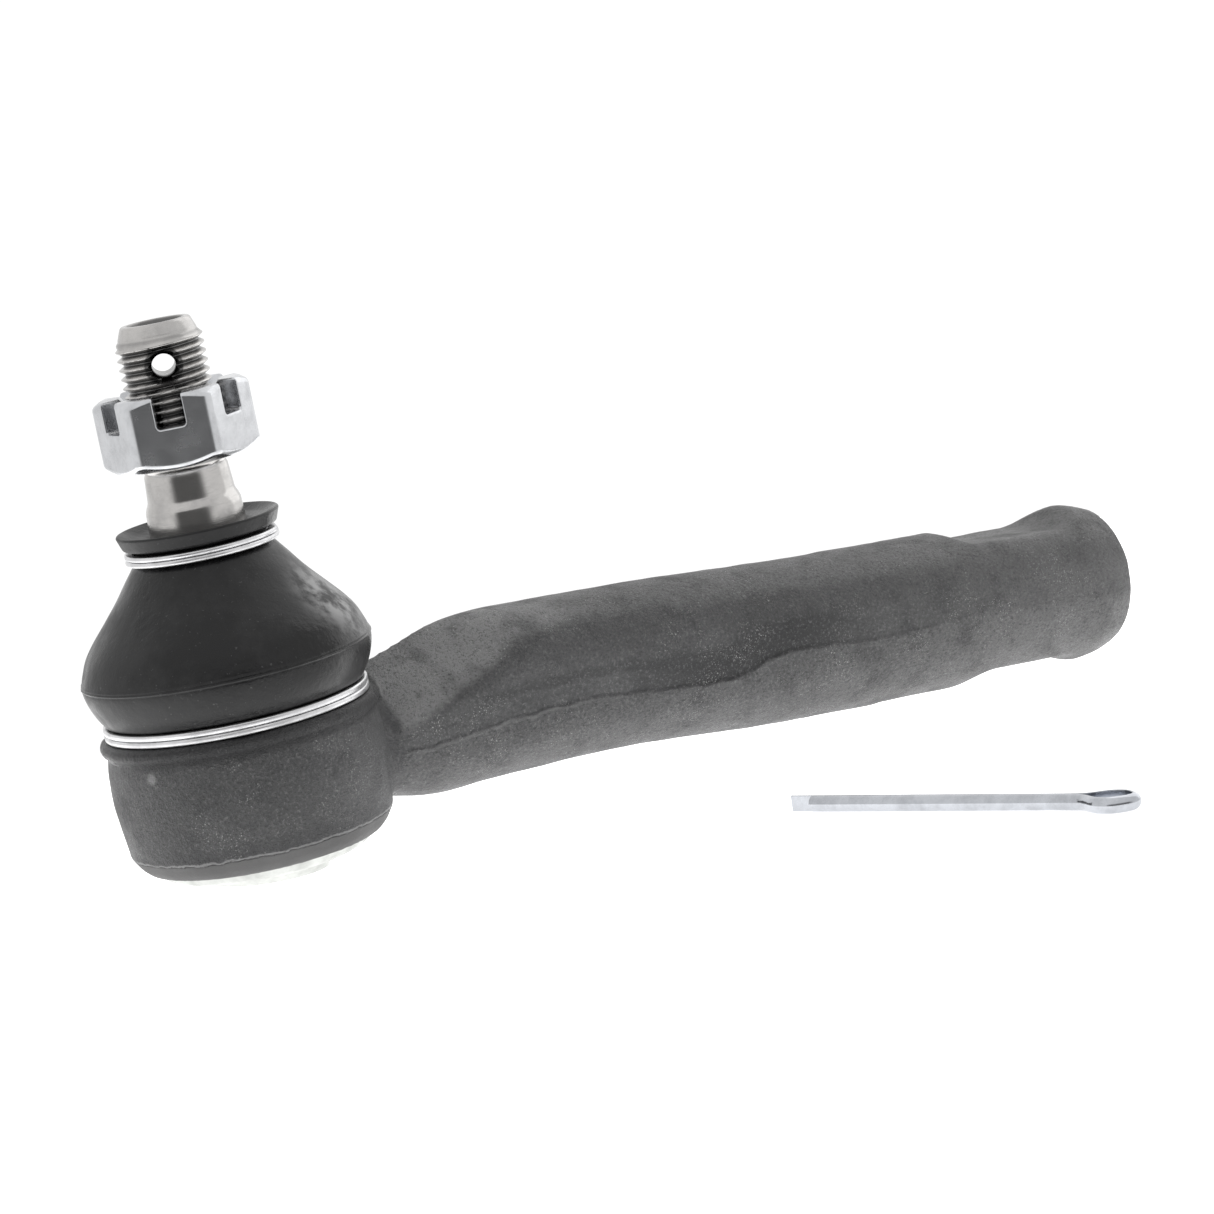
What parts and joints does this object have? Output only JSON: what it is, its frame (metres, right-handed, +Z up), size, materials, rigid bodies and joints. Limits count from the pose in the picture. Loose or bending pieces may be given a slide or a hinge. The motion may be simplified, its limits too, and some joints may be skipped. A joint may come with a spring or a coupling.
{
  "type": "tie rod end",
  "caption": "Steering tie rod end: forged arm and cup with a ball stud, dust boot, castle nut and loose split pin.",
  "frame": {"origin": "centre of the closing plug's flat bottom face, on the stud's axis", "axes": "+Z up along the stud to its threaded end, +X out along the arm to its threaded bore"},
  "size_m": [0.1697, 0.1173, 0.0852],
  "materials": {
    "forged_steel": "dark forged skin, matt with a fine grain",
    "plug_steel": "bright zinc plate",
    "spring_steel": "plain spring steel",
    "seat_plastic": "natural acetal",
    "clip_wire": "bright drawn flat wire",
    "boot_rubber": "black moulded rubber, half gloss",
    "stud_steel": "ground and polished steel",
    "zinc_plate": "bright zinc plate",
    "pin_steel": "bright drawn wire"
  },
  "bodies": {
    "housing": {"housing": "forged_steel", "end_plug": "plug_steel", "preload_spring": "spring_steel", "lower_ball_seat": "seat_plastic", "upper_ball_seat": "seat_plastic", "lower_boot_clip": "clip_wire"},
    "boot": {"dust_boot": "boot_rubber"},
    "boot_neck": {"upper_boot_clip": "clip_wire"},
    "stud": {"ball_stud": "stud_steel"},
    "nut": {"castle_nut": "zinc_plate"},
    "pin": {"cotter_pin": "pin_steel"}
  },
  "joints": [
    {"name": "swing_along_arm", "type": "hinge", "parent": "housing", "child": "boot", "pos_m": [0, 0, 0.0165], "axis": [0, 1, 0], "range_deg": [-20, 20], "deforming": ["dust_boot"]},
    {"name": "swing_across_arm", "type": "hinge", "parent": "boot", "child": "boot_neck", "pos_m": [0, 0, 0.0165], "axis": [1, 0, 0], "range_deg": [-20, 20], "deforming": ["dust_boot"]},
    {"name": "stud_spin", "type": "hinge", "parent": "boot_neck", "child": "stud", "pos_m": [0, 0, 0.0165], "axis": [0, 0, 1], "continuous": true},
    {"name": "nut_travel", "type": "slide", "parent": "stud", "child": "nut", "axis": [0, 0, 1], "range_m": [-0.0004, 0.022]},
    {"name": "pin_lift", "type": "slide", "parent": "housing", "child": "pin", "axis": [0, 0, 1], "range_m": [0, 0.04]}
  ]
}
